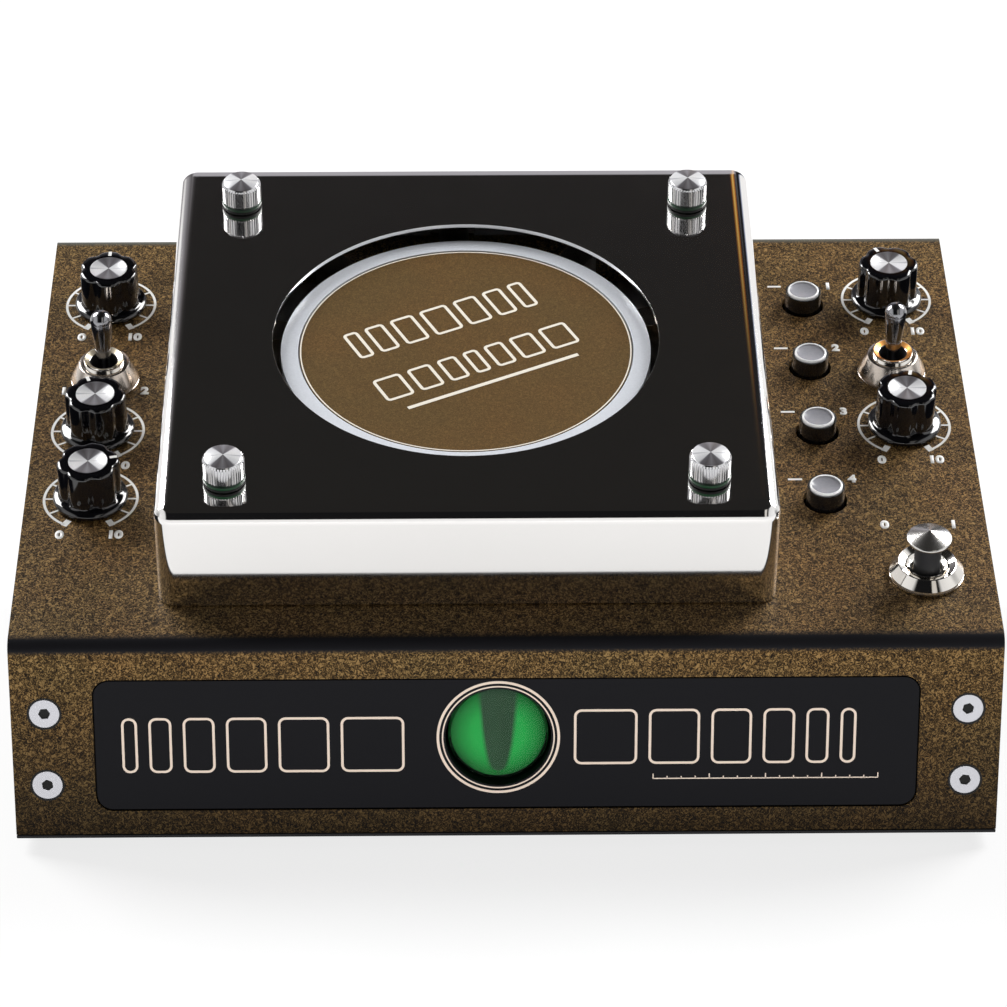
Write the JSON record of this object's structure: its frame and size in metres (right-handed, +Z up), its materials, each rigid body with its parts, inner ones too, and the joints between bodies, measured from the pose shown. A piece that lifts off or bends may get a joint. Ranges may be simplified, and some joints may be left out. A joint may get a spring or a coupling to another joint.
{
  "type": "drum echo unit",
  "caption": "Tabletop echo unit: sloping hammered-paint console, polished cover with a round window over a spinning magnetic drum, side knobs and toggles, and a green level eye in front.",
  "frame": {"origin": "on the ground, under the middle of the bounding box", "axes": "+X to the object's right as its user faces it, along its length; +Y to its back; +Z up"},
  "size_m": [0.28, 0.1936, 0.1551],
  "materials": {
    "hammered": "brown-gold hammered enamel with dark veins",
    "label": "brown hammered enamel disc",
    "black_steel": "satin black",
    "rubber": "matt",
    "black_gloss": "gloss black",
    "eye_glass": "green lit screen behind glass",
    "black_matte": "matt black",
    "zinc": "bright zinc",
    "silver": "turned",
    "bronze": "sintered bronze",
    "polished": "mirror polished",
    "board": "green circuit board",
    "chrome": "polished",
    "grey_cap": "translucent grey"
  },
  "bodies": {
    "chassis": {"chassis_shell": "hammered", "left_end_panel": "hammered", "right_end_panel": "hammered", "base_plate": "black_steel", "foot_front_left": "rubber", "foot_front_right": "rubber", "foot_rear_left": "rubber", "foot_rear_right": "rubber", "front_plate": "black_gloss", "eye_tube": "eye_glass", "eye_tube_socket": "black_matte", "front_screw_left_lower": "zinc", "front_screw_left_upper": "zinc", "front_screw_right_lower": "zinc", "front_screw_right_upper": "zinc", "deck_plate": "silver", "spindle_bearing": "bronze", "drum_motor": "zinc", "drive_belt": "rubber", "erase_head": "zinc", "record_head_1": "zinc", "record_head_2": "zinc", "playback_head_1": "zinc", "playback_head_2": "zinc", "playback_head_3": "zinc", "playback_head_4": "zinc", "left_pot_board": "board", "right_pot_board": "board", "toggle_switch_left": "chrome", "toggle_switch_right": "chrome", "toggle_nut_left": "chrome", "toggle_nut_right": "chrome", "bypass_switch": "chrome", "bypass_nut": "chrome", "playback_switch_board": "black_matte", "main_board": "board", "input_jack": "black_matte", "output_jack": "black_matte", "power_inlet": "black_matte"},
    "cover": {"drum_cover": "polished"},
    "drum": {"drum": "silver", "drum_label": "label", "drum_spindle": "silver"},
    "motor_pulley": {"motor_pulley": "silver"},
    "thumb_nut_front_left": {"thumb_nut_front_left": "zinc"},
    "thumb_nut_front_right": {"thumb_nut_front_right": "zinc"},
    "thumb_nut_rear_left": {"thumb_nut_rear_left": "zinc"},
    "thumb_nut_rear_right": {"thumb_nut_rear_right": "zinc"},
    "knob_left_1": {"knob_left_1": "black_gloss"},
    "knob_left_2": {"knob_left_2": "black_gloss"},
    "knob_left_3": {"knob_left_3": "black_gloss"},
    "knob_right_1": {"knob_right_1": "black_gloss"},
    "knob_right_2": {"knob_right_2": "black_gloss"},
    "toggle_lever_left": {"toggle_lever_left": "chrome"},
    "toggle_lever_right": {"toggle_lever_right": "chrome"},
    "playback_button_1": {"playback_button_1": "grey_cap"},
    "playback_button_2": {"playback_button_2": "grey_cap"},
    "playback_button_3": {"playback_button_3": "grey_cap"},
    "playback_button_4": {"playback_button_4": "grey_cap"},
    "bypass_plunger": {"bypass_plunger": "chrome"}
  },
  "joints": [
    {"name": "cover_lift", "type": "slide", "parent": "chassis", "child": "cover", "axis": [0, -0.2914, 0.9566], "range_m": [0, 0.06]},
    {"name": "thumb_nut_front_left_turn", "type": "hinge", "parent": "cover", "child": "thumb_nut_front_left", "pos_m": [-0.0791, -0.0788, 0.11105], "axis": [0, -0.2914, 0.9566], "continuous": true},
    {"name": "thumb_nut_front_right_turn", "type": "hinge", "parent": "cover", "child": "thumb_nut_front_right", "pos_m": [0.0573, -0.0788, 0.11105], "axis": [0, -0.2914, 0.9566], "continuous": true},
    {"name": "thumb_nut_rear_left_turn", "type": "hinge", "parent": "cover", "child": "thumb_nut_rear_left", "pos_m": [-0.0791, 0.05054, 0.15045], "axis": [0, -0.2914, 0.9566], "continuous": true},
    {"name": "thumb_nut_rear_right_turn", "type": "hinge", "parent": "cover", "child": "thumb_nut_rear_right", "pos_m": [0.0573, 0.05054, 0.15045], "axis": [0, -0.2914, 0.9566], "continuous": true},
    {"name": "drum_spin", "type": "hinge", "parent": "chassis", "child": "drum", "pos_m": [-0.0109, -0.01092, 0.12023], "axis": [0, -0.2914, 0.9566], "continuous": true},
    {"name": "motor_spin", "type": "hinge", "parent": "chassis", "child": "motor_pulley", "pos_m": [0.03171, 0.03874, 0.05957], "axis": [0, -0.2914, 0.9566], "continuous": true},
    {"name": "knob_left_1_turn", "type": "hinge", "parent": "chassis", "child": "knob_left_1", "pos_m": [-0.1208, 0.05391, 0.11907], "axis": [0, -0.2914, 0.9566], "range_deg": [-150, 150]},
    {"name": "knob_left_2_turn", "type": "hinge", "parent": "chassis", "child": "knob_left_2", "pos_m": [-0.1208, -0.00674, 0.10059], "axis": [0, -0.2914, 0.9566], "range_deg": [-170, 130]},
    {"name": "knob_left_3_turn", "type": "hinge", "parent": "chassis", "child": "knob_left_3", "pos_m": [-0.1208, -0.03745, 0.09124], "axis": [0, -0.2914, 0.9566], "range_deg": [-73, 227]},
    {"name": "knob_right_1_turn", "type": "hinge", "parent": "chassis", "child": "knob_right_1", "pos_m": [0.1202, 0.05491, 0.11937], "axis": [0, -0.2914, 0.9566], "range_deg": [-176, 124]},
    {"name": "knob_right_2_turn", "type": "hinge", "parent": "chassis", "child": "knob_right_2", "pos_m": [0.1202, -0.00593, 0.10084], "axis": [0, -0.2914, 0.9566], "range_deg": [-138, 162]},
    {"name": "toggle_lever_left_tilt", "type": "hinge", "parent": "chassis", "child": "toggle_lever_left", "pos_m": [-0.12015, 0.01916, 0.10169], "axis": [1, 0, 0], "range_deg": [-12, 12]},
    {"name": "toggle_lever_right_tilt", "type": "hinge", "parent": "chassis", "child": "toggle_lever_right", "pos_m": [0.1186, 0.02112, 0.10229], "axis": [1, 0, 0], "range_deg": [-12, 12]},
    {"name": "playback_button_1_press", "type": "slide", "parent": "chassis", "child": "playback_button_1", "axis": [0, 0.2914, -0.9566], "range_m": [0, 0.0015], "stiffness_N_per_m": 400, "springref_m": -0.0005},
    {"name": "playback_button_2_press", "type": "slide", "parent": "chassis", "child": "playback_button_2", "axis": [0, 0.2914, -0.9566], "range_m": [0, 0.0015], "stiffness_N_per_m": 400, "springref_m": -0.0005},
    {"name": "playback_button_3_press", "type": "slide", "parent": "chassis", "child": "playback_button_3", "axis": [0, 0.2914, -0.9566], "range_m": [0, 0.0015], "stiffness_N_per_m": 400, "springref_m": -0.0005},
    {"name": "playback_button_4_press", "type": "slide", "parent": "chassis", "child": "playback_button_4", "axis": [0, 0.2914, -0.9566], "range_m": [0, 0.0015], "stiffness_N_per_m": 400, "springref_m": -0.0005},
    {"name": "bypass_press", "type": "slide", "parent": "chassis", "child": "bypass_plunger", "axis": [0, 0.2914, -0.9566], "range_m": [0, 0.0026], "stiffness_N_per_m": 1500, "springref_m": -0.001}
  ],
  "couplings": [
    {"joint": "motor_spin", "follows": "drum_spin", "ratio": 3.7273}
  ]
}
